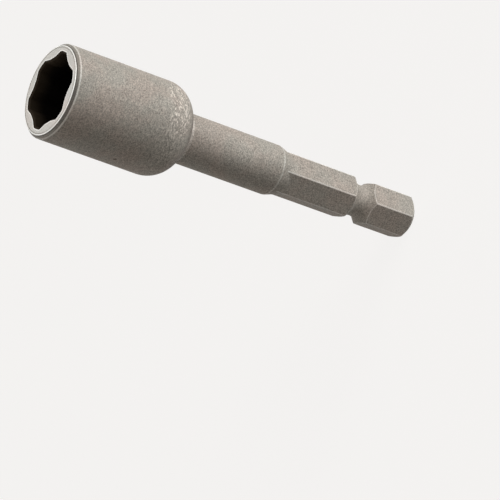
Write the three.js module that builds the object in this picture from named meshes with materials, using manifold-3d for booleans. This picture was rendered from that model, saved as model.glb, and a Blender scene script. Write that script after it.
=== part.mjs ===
// Nut setter with a quarter-inch hex power shank, for a 10 mm nut or hex-head screw.
// Millimetres. +Z runs along the turning axis from the tail of the shank (z = 0) to the socket's mouth.

import * as THREE from 'three';
import { mergeVertices } from 'three/addons/utils/BufferGeometryUtils.js';
import Module from 'manifold-3d';

// Driving dimensions of the whole tool
const OVERALL_LENGTH = 65;
const SOCKET_LENGTH = 22.6; // mouth face to the rear face that the neck butts on
const NUT_SIZE = 10; // across the flats of the nut

// Socket: hex, wall, rim and shoulder
const NUT_CLEARANCE = 0.15; // across the flats
const CORNER_CLEARANCE = 0.05; // between a nut's sharp corner and the relief
const HEX_DEPTH = 8.5;
const HEX_LAND = 1.5; // width of the driving land in the middle of each flat
const HEX_FLANK_ANGLE = THREE.MathUtils.degToRad(13.5); // each flat falls away from the nut beside its land
const HEX_TURN = THREE.MathUtils.degToRad(20); // the pressed-in shank sits at this turn to the socket's hex
const MOUTH_EDGE_BREAK = 0.25;
const SOCKET_WALL = 1.58; // outside the corner reliefs
const RIM_BEVEL_RADIAL = 0.5;
const RIM_BEVEL_AXIAL = 0.6;
const SHOULDER_RADIUS = 4.6;
const REAR_FACE_MARGIN = 0.05; // the rear face stands this much outside the neck

// Drive shank: spigot, neck, cone, hex and detent groove
const NECK_DIAMETER = 7.9;
const NECK_LEAD_DEPTH = 0.14; // radial, of the shallow taper at the neck's front end
const NECK_LEAD_LENGTH = 0.65;
const SPIGOT_DIAMETER = 6;
const SPIGOT_CHAMFER = 0.4;
const PRESS_GAP = 0.05; // radial, stands in for the press fit
const PRESS_BORE_CHAMFER = 0.3;
const SPIGOT_END_GAP = 0.1;
const SHANK_FLATS = 6.35;
const SHANK_CORNER_RADIUS = 0.3;
const SHANK_HEX_LENGTH = 24.25; // tail face to where the cone takes over the hex corners
const CONE_ANGLE = THREE.MathUtils.degToRad(18);
const CONE_SINK = 0.2; // the cone runs on this far under the flats
const TAIL_FACE_DIAMETER = 5.4;
const TAIL_CHAMFER_ANGLE = THREE.MathUtils.degToRad(40); // from the tail face
const GROOVE_FROM_TAIL = 9.5; // to the middle of the detent groove
const GROOVE_DIAMETER = 4.9;
const GROOVE_RADIUS = 2.2;

// Magnet set
const CUP_DIAMETER = 8.2;
const CUP_WALL = 0.6;
const CUP_FLOOR = 0.8;
const CUP_HEIGHT = 3.6;
const CUP_CLEARANCE = 0.1; // radial, in the magnet bore
const CUP_EDGE = 0.2;
const MAGNET_CLEARANCE = 0.05; // radial, in the cup
const MAGNET_PROUD = 0.3; // above the floor of the hex
const MAGNET_CHAMFER = 0.3;
const PAD_THICKNESS = 0.8;
const PAD_INSET = 0.1; // the pad is this much smaller than the cup, per side
const RING_THICKNESS = 0.6;
const RING_ENGAGEMENT = 0.5; // how deep the ring reaches into its groove
const RING_CLEARANCE = 0.15; // radial, round the magnet
const RING_GAP = 2.6; // between the ring's ends
const GROOVE_SLACK = 0.1; // ring groove over ring, radially and in width
const GROOVE_LIP = 0.7; // wall between the ring groove and the floor of the hex

// Smoothness
const TURNED_SIDES = 72;
const ARC_STEPS = 12;
const OVERSHOOT = 2; // cutters reach this far outside the metal

// Radii that follow from the sizes above
const hexFlatRadius = (NUT_SIZE + NUT_CLEARANCE) / 2;
const reliefRadius = NUT_SIZE / Math.sqrt(3) + CORNER_CLEARANCE;
const socketRadius = reliefRadius + SOCKET_WALL;
const neckRadius = NECK_DIAMETER / 2;
const spigotRadius = SPIGOT_DIAMETER / 2;
const pressBoreRadius = spigotRadius + PRESS_GAP;
const cupRadius = CUP_DIAMETER / 2;
const magnetBoreRadius = cupRadius + CUP_CLEARANCE;
const magnetRadius = cupRadius - CUP_WALL - MAGNET_CLEARANCE;
const ringInnerRadius = magnetRadius + RING_CLEARANCE;
const ringOuterRadius = magnetBoreRadius + RING_ENGAGEMENT;
const ringGrooveRadius = ringOuterRadius + GROOVE_SLACK;

// Heights that follow from the sizes above
const mouthZ = OVERALL_LENGTH;
const rearFaceZ = mouthZ - SOCKET_LENGTH;
const hexFloorZ = mouthZ - HEX_DEPTH;
const grooveTopZ = hexFloorZ - GROOVE_LIP;
const grooveFloorZ = grooveTopZ - RING_THICKNESS - GROOVE_SLACK;
const cupRimZ = grooveFloorZ + GROOVE_SLACK / 2;
const cupFootZ = cupRimZ - CUP_HEIGHT;
const boreFloorZ = cupFootZ - PAD_THICKNESS;
const magnetFootZ = cupFootZ + CUP_FLOOR;
const magnetFaceZ = hexFloorZ + MAGNET_PROUD;
const spigotEndZ = boreFloorZ - SPIGOT_END_GAP;

const wasm = await Module();
wasm.setup();

// A closed geometry as a solid that can be joined and cut.
function toSolid(geometry) {
  const bare = geometry.clone();
  bare.deleteAttribute('normal');
  bare.deleteAttribute('uv');
  const merged = mergeVertices(bare, 1e-5);
  const corners = merged.index.array;
  const triangles = [];
  for (let i = 0; i < corners.length; i += 3) {
    const [a, b, c] = corners.slice(i, i + 3);
    if (a !== b && b !== c && c !== a) triangles.push(a, b, c);
  }
  return new wasm.Manifold(new wasm.Mesh({
    numProp: 3,
    vertProperties: new Float32Array(merged.attributes.position.array),
    triVerts: new Uint32Array(triangles),
  }));
}

// A solid back as a three.js geometry.
function toGeometry(solid) {
  const { vertProperties, triVerts } = solid.getMesh();
  const geometry = new THREE.BufferGeometry();
  geometry.setAttribute('position', new THREE.BufferAttribute(vertProperties, 3));
  geometry.setIndex(new THREE.BufferAttribute(triVerts, 1));
  geometry.computeVertexNormals();
  return geometry;
}

// A profile of [radius, z] points, outer side going up, turned about Z.
function turned(profile) {
  const points = profile.map(([radius, z]) => new THREE.Vector2(radius, z));
  return new THREE.LatheGeometry(points, TURNED_SIDES).rotateX(Math.PI / 2);
}

// Points [radius, z] of an arc about a centre; angles from the outward radial direction, towards +Z.
function arc(centreRadius, centreZ, radius, from, to) {
  const points = [];
  for (let i = 0; i <= ARC_STEPS; i += 1) {
    const angle = from + ((to - from) * i) / ARC_STEPS;
    points.push([centreRadius + radius * Math.cos(angle), centreZ + radius * Math.sin(angle)]);
  }
  return points;
}

// Outline of the broached hex: six lands, a flank falling away on each side, relief arcs at the corners.
function relievedHex() {
  const halfLand = HEX_LAND / 2;
  const start = new THREE.Vector2(halfLand, hexFlatRadius);
  const run = new THREE.Vector2(Math.cos(HEX_FLANK_ANGLE), Math.sin(HEX_FLANK_ANGLE));
  const along = start.dot(run);
  const reach = -along + Math.sqrt(along ** 2 - start.lengthSq() + reliefRadius ** 2);
  const end = start.clone().addScaledVector(run, reach);
  const endAngle = Math.atan2(end.x, end.y);

  const shape = new THREE.Shape();
  const origin = new THREE.Vector2();
  for (let side = 0; side < 6; side += 1) {
    const facing = (side * Math.PI) / 3;
    const turn = facing - Math.PI / 2;
    const land = [start.clone(), new THREE.Vector2(-halfLand, hexFlatRadius)];
    for (const point of land) point.rotateAround(origin, turn);
    if (side === 0) {
      shape.moveTo(reliefRadius * Math.cos(facing - endAngle), reliefRadius * Math.sin(facing - endAngle));
    }
    shape.lineTo(land[0].x, land[0].y);
    shape.lineTo(land[1].x, land[1].y);
    shape.lineTo(reliefRadius * Math.cos(facing + endAngle), reliefRadius * Math.sin(facing + endAngle));
    shape.absarc(0, 0, reliefRadius, facing + endAngle, facing + Math.PI / 3 - endAngle, false);
  }
  return shape;
}

// Socket drum: turned inside and out, then broached.
function socketGeometry() {
  const shoulderCentreRadius = socketRadius - SHOULDER_RADIUS;
  const rearFaceRadius = neckRadius + REAR_FACE_MARGIN;
  const shoulderEnd = Math.acos(Math.max(0, (rearFaceRadius - shoulderCentreRadius) / SHOULDER_RADIUS));
  const shoulderCentreZ = rearFaceZ + SHOULDER_RADIUS * Math.sin(shoulderEnd);
  const blank = turned([
    [pressBoreRadius + PRESS_BORE_CHAMFER, rearFaceZ],
    ...arc(shoulderCentreRadius, shoulderCentreZ, SHOULDER_RADIUS, -shoulderEnd, 0),
    [socketRadius, mouthZ - RIM_BEVEL_AXIAL],
    [socketRadius - RIM_BEVEL_RADIAL, mouthZ],
    [magnetBoreRadius, mouthZ],
    [magnetBoreRadius, grooveTopZ],
    [ringGrooveRadius, grooveTopZ],
    [ringGrooveRadius, grooveFloorZ],
    [magnetBoreRadius, grooveFloorZ],
    [magnetBoreRadius, boreFloorZ],
    [pressBoreRadius, boreFloorZ],
    [pressBoreRadius, rearFaceZ + PRESS_BORE_CHAMFER],
    [pressBoreRadius + PRESS_BORE_CHAMFER, rearFaceZ],
  ]);

  const outline = relievedHex();
  const broach = new THREE.ExtrudeGeometry(outline, {
    depth: HEX_DEPTH + OVERSHOOT,
    bevelEnabled: false,
    curveSegments: 3,
  });
  broach.rotateZ(HEX_TURN).translate(0, 0, hexFloorZ);
  const edgeBreak = new THREE.ExtrudeGeometry(outline, {
    depth: OVERSHOOT,
    bevelSize: MOUTH_EDGE_BREAK,
    bevelThickness: MOUTH_EDGE_BREAK,
    bevelSegments: 1,
    curveSegments: 3,
  });
  edgeBreak.rotateZ(HEX_TURN).translate(0, 0, mouthZ);
  return toGeometry(toSolid(blank).subtract(toSolid(broach)).subtract(toSolid(edgeBreak)));
}

// Outline of the hex bar: flats facing +X and -X, corners slightly round.
function hexBarOutline() {
  const flatRadius = SHANK_FLATS / 2;
  const roundCentre = (flatRadius - SHANK_CORNER_RADIUS) / Math.cos(Math.PI / 6);
  const shape = new THREE.Shape();
  for (let corner = 0; corner < 6; corner += 1) {
    const facing = ((corner + 0.5) * Math.PI) / 3;
    const x = roundCentre * Math.cos(facing);
    const y = roundCentre * Math.sin(facing);
    shape.absarc(x, y, SHANK_CORNER_RADIUS, facing - Math.PI / 6, facing + Math.PI / 6, false);
  }
  return shape;
}

// Drive shank: hex bar with a chamfered tail and a turned groove, joined to the turned cone, neck and spigot.
function shankGeometry() {
  const flatRadius = SHANK_FLATS / 2;
  const cornerRadius = (flatRadius - SHANK_CORNER_RADIUS) / Math.cos(Math.PI / 6) + SHANK_CORNER_RADIUS;
  const neckFootZ = SHANK_HEX_LENGTH + (neckRadius - cornerRadius) / Math.tan(CONE_ANGLE);
  const coneTipRadius = flatRadius - CONE_SINK;
  const coneTipZ = neckFootZ - (neckRadius - coneTipRadius) / Math.tan(CONE_ANGLE);

  const blankRadius = cornerRadius + OVERSHOOT;
  const tailRadius = TAIL_FACE_DIAMETER / 2;
  const blank = turned([
    [0, 0],
    [tailRadius, 0],
    [blankRadius, (blankRadius - tailRadius) * Math.tan(TAIL_CHAMFER_ANGLE)],
    [blankRadius, neckFootZ],
    [0, neckFootZ],
  ]);
  const grooveCentre = GROOVE_DIAMETER / 2 + GROOVE_RADIUS;
  const groove = turned([
    ...arc(grooveCentre, GROOVE_FROM_TAIL, GROOVE_RADIUS, Math.PI / 2, (3 * Math.PI) / 2),
    [grooveCentre + OVERSHOOT, GROOVE_FROM_TAIL - GROOVE_RADIUS],
    [grooveCentre + OVERSHOOT, GROOVE_FROM_TAIL + GROOVE_RADIUS],
    [grooveCentre, GROOVE_FROM_TAIL + GROOVE_RADIUS],
  ]);
  const bar = new THREE.ExtrudeGeometry(hexBarOutline(), {
    depth: neckFootZ,
    bevelEnabled: false,
    curveSegments: 2,
  });
  const neck = turned([
    [0, coneTipZ],
    [coneTipRadius, coneTipZ],
    [neckRadius, neckFootZ],
    [neckRadius, rearFaceZ - NECK_LEAD_LENGTH],
    [neckRadius - NECK_LEAD_DEPTH, rearFaceZ],
    [spigotRadius, rearFaceZ],
    [spigotRadius, spigotEndZ - SPIGOT_CHAMFER],
    [spigotRadius - SPIGOT_CHAMFER, spigotEndZ],
    [0, spigotEndZ],
  ]);
  const hex = toSolid(bar).intersect(toSolid(blank)).subtract(toSolid(groove));
  return toGeometry(hex.add(toSolid(neck)));
}

// Steel pot that carries the magnet.
function cupGeometry() {
  const inner = cupRadius - CUP_WALL;
  return turned([
    [0, cupFootZ],
    [cupRadius - CUP_EDGE, cupFootZ],
    [cupRadius, cupFootZ + CUP_EDGE],
    [cupRadius, cupRimZ],
    [inner, cupRimZ],
    [inner, magnetFootZ],
    [0, magnetFootZ],
  ]);
}

// Magnet, chamfered at both ends.
function magnetGeometry() {
  return turned([
    [0, magnetFootZ],
    [magnetRadius - MAGNET_CHAMFER, magnetFootZ],
    [magnetRadius, magnetFootZ + MAGNET_CHAMFER],
    [magnetRadius, magnetFaceZ - MAGNET_CHAMFER],
    [magnetRadius - MAGNET_CHAMFER, magnetFaceZ],
    [0, magnetFaceZ],
  ]);
}

// Fibre disc between the cup and the bore's floor.
function padGeometry() {
  const radius = cupRadius - PAD_INSET;
  return turned([
    [0, boreFloorZ],
    [radius, boreFloorZ],
    [radius, cupFootZ],
    [0, cupFootZ],
  ]);
}

// Split snap ring with round ends, lying on the cup's rim.
function ringGeometry() {
  const middle = (ringInnerRadius + ringOuterRadius) / 2;
  const endRadius = (ringOuterRadius - ringInnerRadius) / 2;
  const halfGap = (RING_GAP / 2 + endRadius) / middle;
  const shape = new THREE.Shape();
  shape.absarc(0, 0, ringOuterRadius, halfGap, 2 * Math.PI - halfGap, false);
  const endX = middle * Math.cos(halfGap);
  const endY = middle * Math.sin(halfGap);
  shape.absarc(endX, -endY, endRadius, -halfGap, Math.PI - halfGap, false);
  shape.absarc(0, 0, ringInnerRadius, 2 * Math.PI - halfGap, halfGap, true);
  shape.absarc(endX, endY, endRadius, Math.PI + halfGap, 2 * Math.PI + halfGap, false);
  return new THREE.ExtrudeGeometry(shape, {
    depth: RING_THICKNESS,
    bevelEnabled: false,
    curveSegments: ARC_STEPS,
  }).translate(0, 0, cupRimZ);
}

const blastedSteel = { color: 0x8c8780, roughness: 0.55, metalness: 0.9 };
const nickel = { color: 0xb9b7b0, roughness: 0.25, metalness: 1 };
const zincPlate = { color: 0x9b9c9c, roughness: 0.4, metalness: 1 };
const springSteel = { color: 0x4a4b4f, roughness: 0.4, metalness: 1 };
const fibre = { color: 0x3a2a22, roughness: 0.9, metalness: 0 };

const nutSetter = new THREE.Group();

function addPiece(name, geometry, finish) {
  const piece = new THREE.Mesh(geometry, new THREE.MeshStandardMaterial(finish));
  piece.name = name;
  nutSetter.add(piece);
}

addPiece('socket', socketGeometry(), blastedSteel);
addPiece('drive_shank', shankGeometry(), blastedSteel);
addPiece('magnet_cup', cupGeometry(), zincPlate);
addPiece('magnet', magnetGeometry(), nickel);
addPiece('cushion_pad', padGeometry(), fibre);
addPiece('retaining_ring', ringGeometry(), springSteel);

export default nutSetter;
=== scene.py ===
# %% [markdown]
# # A nut setter, modelled and dressed in Blender
# A nut setter drives hex nuts and hex-head screws. Its socket is a steel drum with a broached hex,
# pressed on the spigot of a hex drive shank, and a small magnet sits in the hex. The sizes come from
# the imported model, which is loaded first and never changed. Every piece below is modelled in the same
# frame, in metres, and then takes the place of its plain twin.

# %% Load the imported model
import math

import bmesh
import bpy
from mathutils import Matrix, Vector


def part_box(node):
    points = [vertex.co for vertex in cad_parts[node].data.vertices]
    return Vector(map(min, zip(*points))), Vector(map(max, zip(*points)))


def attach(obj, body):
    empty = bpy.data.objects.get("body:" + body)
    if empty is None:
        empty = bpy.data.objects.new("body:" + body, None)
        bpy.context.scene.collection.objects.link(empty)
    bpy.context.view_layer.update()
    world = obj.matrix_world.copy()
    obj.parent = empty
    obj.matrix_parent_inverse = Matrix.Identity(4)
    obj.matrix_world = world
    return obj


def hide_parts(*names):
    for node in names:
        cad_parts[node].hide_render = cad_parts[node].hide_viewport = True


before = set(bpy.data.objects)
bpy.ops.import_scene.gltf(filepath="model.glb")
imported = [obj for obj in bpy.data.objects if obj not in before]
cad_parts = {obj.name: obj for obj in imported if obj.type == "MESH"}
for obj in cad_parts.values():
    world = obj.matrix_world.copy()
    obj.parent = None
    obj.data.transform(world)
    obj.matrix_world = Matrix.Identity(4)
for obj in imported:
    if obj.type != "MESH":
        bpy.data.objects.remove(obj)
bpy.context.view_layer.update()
bpy.ops.object.select_all(action="DESELECT")
print("model nodes:", sorted(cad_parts))

# %% Read the main sizes from the model
MM = 0.001
socket_low, socket_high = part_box("socket")
MOUTH = socket_high.z
REAR_FACE = socket_low.z
SOCKET_RADIUS = socket_high.x
SPIGOT_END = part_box("drive_shank")[1].z
print(f"socket {2 * SOCKET_RADIUS / MM:.2f} mm across, mouth at {MOUTH / MM:.1f} mm")

# %% [markdown]
# ## The camera
# The photograph looks at the mouth from the side, with a long lens, and the tool lies across the
# picture. A camera could be placed by eye, but here a few facts fix it: the side that the tool is seen
# from, where the middle of the mouth shows in the picture, how many pixels a millimetre takes there,
# and how the tool's axis leans. The camera's own axes are built from those, and its place follows.

# %% Camera
IMAGE_PX = 500
SENSOR = 36.0  # millimetres, the camera's own unit
FOCAL_PX = 5000
MOUTH_PX = Vector((50.1, 90.2))
PX_PER_MM = 6.783
VIEW_AZIMUTH = math.radians(-99.5)
VIEW_ELEVATION = math.radians(29.9)
AXIS_LEAN = math.radians(19.32)

towards = Vector((math.cos(VIEW_AZIMUTH), math.sin(VIEW_AZIMUTH), 0))
across = Vector((-towards.y, towards.x, 0))
along = Vector((0, 0, 1))
to_viewer = math.cos(VIEW_ELEVATION) * towards + math.sin(VIEW_ELEVATION) * along
steep = math.cos(VIEW_ELEVATION) * along - math.sin(VIEW_ELEVATION) * towards
picture_right = math.sin(AXIS_LEAN) * across - math.cos(AXIS_LEAN) * steep
picture_up = math.cos(AXIS_LEAN) * across + math.sin(AXIS_LEAN) * steep

offset_px = MOUTH_PX - Vector((IMAGE_PX, IMAGE_PX)) / 2
mouth_seen = (offset_px.x * picture_right - offset_px.y * picture_up - FOCAL_PX * to_viewer) / PX_PER_MM
bpy.ops.object.camera_add(location=Vector((0, 0, MOUTH)) - mouth_seen * MM)
camera = bpy.context.object
camera.rotation_euler = Matrix((picture_right, picture_up, to_viewer)).transposed().to_euler()
camera.data.sensor_width = SENSOR
camera.data.lens = SENSOR * FOCAL_PX / IMAGE_PX
bpy.context.scene.camera = camera
print(f"camera {camera.location.length / MM:.0f} mm away, lens {camera.data.lens:.0f} mm")

# %% [markdown]
# ## Helpers for pulled rings
# The socket and the shank are both round in one place and six-sided in another. A Boolean could cut
# one out of the other, but it leaves ragged faces. Here a ring of vertices is extruded step by step
# along the axis instead, and each vertex keeps its angle, so that round and six-sided rings meet face
# to face in clean quads. A ring's radius or height is a number, or a function of the angle.

# %% Points round the axis
SIDES = 6
SECTOR = 2 * math.pi / SIDES


def polar_point(radius, angle, height):
    """A point at a radius, an angle and a height."""
    return Vector((radius * math.cos(angle), radius * math.sin(angle), height))


def radius_of(point):
    """Distance of a point from the axis."""
    return math.hypot(point.x, point.y)


def angle_of(point):
    """Angle of a point round the axis."""
    return math.atan2(point.y, point.x)


def value_at(size, angle):
    """A ring's radius or height at an angle."""
    return size(angle) if callable(size) else size


def sector_angles(breaks, steps, turn):
    """Angles of a ring whose six sectors are divided alike, with a vertex on every break angle."""
    angles = []
    for side in range(SIDES):
        for start, end, count in zip(breaks, breaks[1:], steps):
            for step in range(count):
                angles.append(turn + side * SECTOR + start + (end - start) * step / count)
    return angles


print(f"a ring has {SIDES} sectors of {math.degrees(SECTOR):.0f} degrees")


# %% Starting and pulling a ring
def set_ring(radius, height):
    """Puts each selected vertex at a radius and height and leaves its angle."""
    piece = bpy.context.object
    mesh = bmesh.from_edit_mesh(piece.data)
    for vertex in mesh.verts:
        if vertex.select:
            angle = angle_of(vertex.co)
            vertex.co = polar_point(value_at(radius, angle), angle, value_at(height, angle))
    bmesh.update_edit_mesh(piece.data)


def start_ring(name, angles, radius, height):
    """Adds a circle, turns its vertices to the given angles and leaves it in edit mode."""
    bpy.ops.object.select_all(action="DESELECT")
    bpy.ops.mesh.primitive_circle_add(vertices=len(angles), radius=MM)
    piece = bpy.context.object
    piece.name = piece.data.name = name
    for vertex, angle in zip(piece.data.vertices, angles):
        vertex.co = polar_point(MM, angle, 0)
    bpy.ops.object.mode_set(mode="EDIT")
    bpy.ops.mesh.select_all(action="SELECT")
    set_ring(radius, height)
    return piece


def pull_ring(radius, height):
    """Extrudes the selected ring and sets the new one."""
    bpy.ops.mesh.extrude_region_move()
    set_ring(radius, height)


print("rings can be started and pulled")

# %% [markdown]
# A finished ring is worked on further by its place. By hand one would click on an edge loop or on
# faces, but here they are found again by a test of where they lie. A loop can then be rounded, and
# the faces in a place can take their own finish.

# %% Selecting, rounding and finishes
TOUCH = 0.004 * MM
ROUND_STEPS = 3


def select_parts(mode, test):
    """Selects the edges or the faces of the edited piece that satisfy a test, and counts them."""
    bpy.ops.mesh.select_mode(type=mode)
    bpy.ops.mesh.select_all(action="DESELECT")
    piece = bpy.context.object
    mesh = bmesh.from_edit_mesh(piece.data)
    found = [part for part in (mesh.edges if mode == "EDGE" else mesh.faces) if test(part)]
    for part in found:
        part.select_set(True)
    bmesh.update_edit_mesh(piece.data)
    return len(found)


def select_ring(radius, height):
    """Selects the edges of a ring."""
    def on_ring(vertex):
        angle = angle_of(vertex.co)
        beside = abs(radius_of(vertex.co) - value_at(radius, angle))
        above = abs(vertex.co.z - value_at(height, angle))
        return beside < TOUCH and above < TOUCH

    return select_parts("EDGE", lambda edge: all(on_ring(vertex) for vertex in edge.verts))


def round_ring(radius, height, width, finish=-1):
    """Bevels the edge loop on a ring. The new faces may take another finish of the piece."""
    count = select_ring(radius, height)
    bpy.ops.mesh.bevel(offset=width, segments=ROUND_STEPS, affect="EDGES", material=finish)
    print(f"  rounded a ring of {count} edges by {width / MM:.2f} mm")


def give_finish(index, place):
    """Gives the faces whose middle is in a place one of the piece's finishes."""
    count = select_parts("FACE", lambda face: place(face.calc_center_median()))
    bpy.context.object.active_material_index = index
    bpy.ops.object.material_slot_assign()
    print(f"  {count} faces take finish {index}")


print(f"a ring is found within {TOUCH / MM:.3f} mm")

# %% [markdown]
# Every piece ends the same way. Doubles are merged before the faces are turned outwards, because
# loose seams would spoil that. Plain smooth shading would bend the light on long flats beside their
# small roundings, so the normals are weighted by area, which keeps the flats flat.

# %% Closing a piece
MERGE = 0.001 * MM
SMOOTH_ANGLE = math.radians(40)


def close_piece(piece):
    """Merges doubles, turns the faces outwards, smooths the piece and weights its normals."""
    bpy.ops.mesh.select_mode(type="VERT")
    bpy.ops.mesh.select_all(action="SELECT")
    bpy.ops.mesh.remove_doubles(threshold=MERGE)
    bpy.ops.mesh.normals_make_consistent(inside=False)
    mesh = bmesh.from_edit_mesh(piece.data)
    gaps = sum(not edge.is_manifold for edge in mesh.edges)
    bpy.ops.object.mode_set(mode="OBJECT")
    bpy.ops.object.shade_smooth_by_angle(angle=SMOOTH_ANGLE)
    weights = piece.modifiers.new("area weighted normals", "WEIGHTED_NORMAL")
    weights.keep_sharp = True
    bpy.ops.object.modifier_apply(modifier=weights.name)
    print(f"{piece.name}: {len(piece.data.polygons)} faces, {gaps} open edges")


print(f"edges over {math.degrees(SMOOTH_ANGLE):.0f} degrees stay sharp")

# %% [markdown]
# ## Finishes
# All the steel is matte from blasting: a fine grain of light and dark, a few bare bright flecks,
# faint warm and greenish clouds and here and there a speck of rust. An image texture would need a
# file, and it would stretch over the shoulder. Noise in object coordinates does neither, and its grain
# is the same size on every piece. Short helpers add a node and feed its sockets, so that each finish
# below reads as a recipe.

# %% Node helpers
def add_node(material, kind, feeds, **settings):
    """Adds a node, sets its options and feeds its sockets with values or other sockets."""
    node = material.node_tree.nodes.new(kind)
    for option, value in settings.items():
        setattr(node, option, value)
    for inlet, value in feeds.items():
        if isinstance(value, bpy.types.NodeSocket):
            material.node_tree.links.new(value, node.inputs[inlet])
        else:
            node.inputs[inlet].default_value = value
    return node


def combine(material, operation, first, second=0.0):
    """One sum, product or the like of two values."""
    return add_node(material, "ShaderNodeMath", {0: first, 1: second}, operation=operation).outputs["Value"]


def combine_vectors(material, operation, first, second=(0, 0, 0), output="Vector"):
    """One step of vector arithmetic."""
    node = add_node(material, "ShaderNodeVectorMath", {0: first, 1: second}, operation=operation)
    return node.outputs[output]


def object_point(material):
    """The point being shaded, in object coordinates."""
    return add_node(material, "ShaderNodeTexCoord", {}).outputs["Object"]


def height_of(material, point):
    """Height along the turning axis."""
    return add_node(material, "ShaderNodeSeparateXYZ", {0: point}).outputs["Z"]


print("node helpers are ready")

# %% Noise, colour and shader helpers
NOISE_SPAN = (0.25, 0.75)
NOISE_CORE = (0.3, 0.7)


def grain(material, point, size, detail=2.0, harshness=0.5):
    """Noise from 0 to 1 with grains of about the given size."""
    feeds = {"Vector": point, "Scale": 1 / size, "Detail": detail, "Roughness": harshness}
    return add_node(material, "ShaderNodeTexNoise", feeds).outputs["Fac"]


def fade(material, value, start, end, low=0.0, high=1.0):
    """Maps a value smoothly from start..end to low..high."""
    feeds = {"Value": value, "From Min": start, "From Max": end, "To Min": low, "To Max": high}
    return add_node(material, "ShaderNodeMapRange", feeds, interpolation_type="SMOOTHSTEP").outputs["Result"]


def swing(material, noise, amount, middle=0.0):
    """Noise turned to a swing of the given amount round a middle."""
    return fade(material, noise, *NOISE_SPAN, middle - amount, middle + amount)


def tint(material, share, first, second, blend="MIX"):
    """A colour between two colours."""
    feeds = {0: share, 6: first, 7: second}
    return add_node(material, "ShaderNodeMix", feeds, data_type="RGBA", blend_type=blend).outputs[2]


def relief(material, height, depth):
    """A bump of the given depth."""
    return add_node(material, "ShaderNodeBump", {"Height": height, "Distance": depth}).outputs["Normal"]


def new_finish(name):
    """A new material and its shader."""
    material = bpy.data.materials.new(name)
    material.use_nodes = True
    print("finish:", name)
    return material, material.node_tree.nodes["Principled BSDF"]


def plug_in(material, shader, **sources):
    """Links colour, roughness, metallic and bump to the shader."""
    names = {"colour": "Base Color", "roughness": "Roughness", "metallic": "Metallic", "normal": "Normal"}
    for name, source in sources.items():
        material.node_tree.links.new(source, shader.inputs[names[name]])


print("noise, colour and shader helpers are ready")

# %% [markdown]
# The lathe leaves short streaks that run round the tool. A noise that is stretched along X or Y would
# only look right on one side, and one that reads the angle would show a seam. So the streaks read the
# direction from the axis as a point on a circle, together with the radius and the height.

# %% Turned streaks
STREAK_LENGTH = 0.45 * MM
STREAK_WIDTH = 0.17 * MM


def turned_streaks(material, point):
    """Noise from 0 to 1 in short streaks round the axis."""
    sideways = combine_vectors(material, "MULTIPLY", point, (1, 1, 0))
    radius = combine_vectors(material, "LENGTH", sideways, output="Value")
    turns = SOCKET_RADIUS / STREAK_LENGTH
    facing = combine_vectors(material, "NORMALIZE", sideways)
    circle = combine_vectors(material, "MULTIPLY", facing, (turns, turns, 0))
    outward = add_node(material, "ShaderNodeCombineXYZ",
                       {"Z": combine(material, "DIVIDE", radius, STREAK_WIDTH)}).outputs[0]
    feeds = {"Vector": combine_vectors(material, "ADD", circle, outward), "Scale": 1.0, "Detail": 3.0,
             "W": combine(material, "DIVIDE", height_of(material, point), STREAK_WIDTH)}
    return add_node(material, "ShaderNodeTexNoise", feeds, noise_dimensions="4D").outputs["Fac"]


print(f"streaks are {STREAK_LENGTH / MM:.2f} mm long and {STREAK_WIDTH / MM:.2f} mm wide")

# %% [markdown]
# Use has marked the steel, and some light and shade is painted on it as well. A band round the shoulder
# is rubbed, and its brighter side is a painted highlight as well as wear; a spot on the neck is rubbed
# too. Painted shade darkens the shoulder beside the neck and one side of the bevel round the mouth, and
# rust has started in one small pit on the barrel and in a few finer specks. Marks could be painted, but
# that needs an unwrapped mesh and a picture. Here each one follows from the distance to a place, so it
# stays sharp at any size.

# %% Rust
RUST_COLOUR = (0.070, 0.046, 0.028, 1)
RUST_STRENGTH = 0.8
RUST_ANGLE = math.radians(-160)
RUST_HEIGHT = 52.9 * MM
RUST_SIZE = 0.32 * MM
RAGGED_SMALL = 0.7 * RUST_SIZE
RAGGED_LARGE = 1.3 * RUST_SIZE
PIT_FULL = 0.5
SPECK_CELL = 8 * MM
SPECK_SPAN = (0.03, 0.012)


def distance_to(material, point, place):
    """Distance from the point being shaded to a place."""
    return combine_vectors(material, "DISTANCE", point, place, output="Value")


def rust(material, point, ragged):
    """Share of rust: one pit on the barrel and a few fine specks."""
    away = distance_to(material, point, polar_point(SOCKET_RADIUS, RUST_ANGLE, RUST_HEIGHT))
    edge = fade(material, ragged, *NOISE_CORE, RAGGED_SMALL, RAGGED_LARGE)
    pit = fade(material, combine(material, "DIVIDE", away, edge), 1.0, PIT_FULL)
    cell = add_node(material, "ShaderNodeTexVoronoi", {"Vector": point, "Scale": 1 / SPECK_CELL})
    speck = fade(material, cell.outputs["Distance"], *SPECK_SPAN)
    return combine(material, "MULTIPLY", combine(material, "MAXIMUM", pit, speck), RUST_STRENGTH)


print(f"rust pit at {RUST_HEIGHT / MM:.1f} mm, {2 * RUST_SIZE / MM:.2f} mm across")

# %% Wear and painted highlight
NECK_RADIUS = 7.9 / 2 * MM
SPOT_FULL = 0.8 * MM
SHOULDER_WEAR_SHEEN_HEIGHT = REAR_FACE + 4.1 * MM
SHOULDER_WEAR_SHEEN_ANGLE = math.radians(-66)
SHOULDER_WEAR_SHEEN_SIZE = 7 * MM
FAR_SIDE_SHARE = 0.35
BAND_FULL = 0.6 * MM
BAND_SIZE = 3.2 * MM
NECK_WEAR_HEIGHT = 32 * MM
NECK_WEAR_ANGLE = math.radians(-80)
NECK_WEAR_SIZE = 4 * MM
NECK_WEAR_SHARE = 0.4


def spot_share(material, point, middle, size):
    """1 in the middle of a spot, falling to 0 at its size."""
    return fade(material, distance_to(material, point, middle), size, SPOT_FULL)


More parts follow.
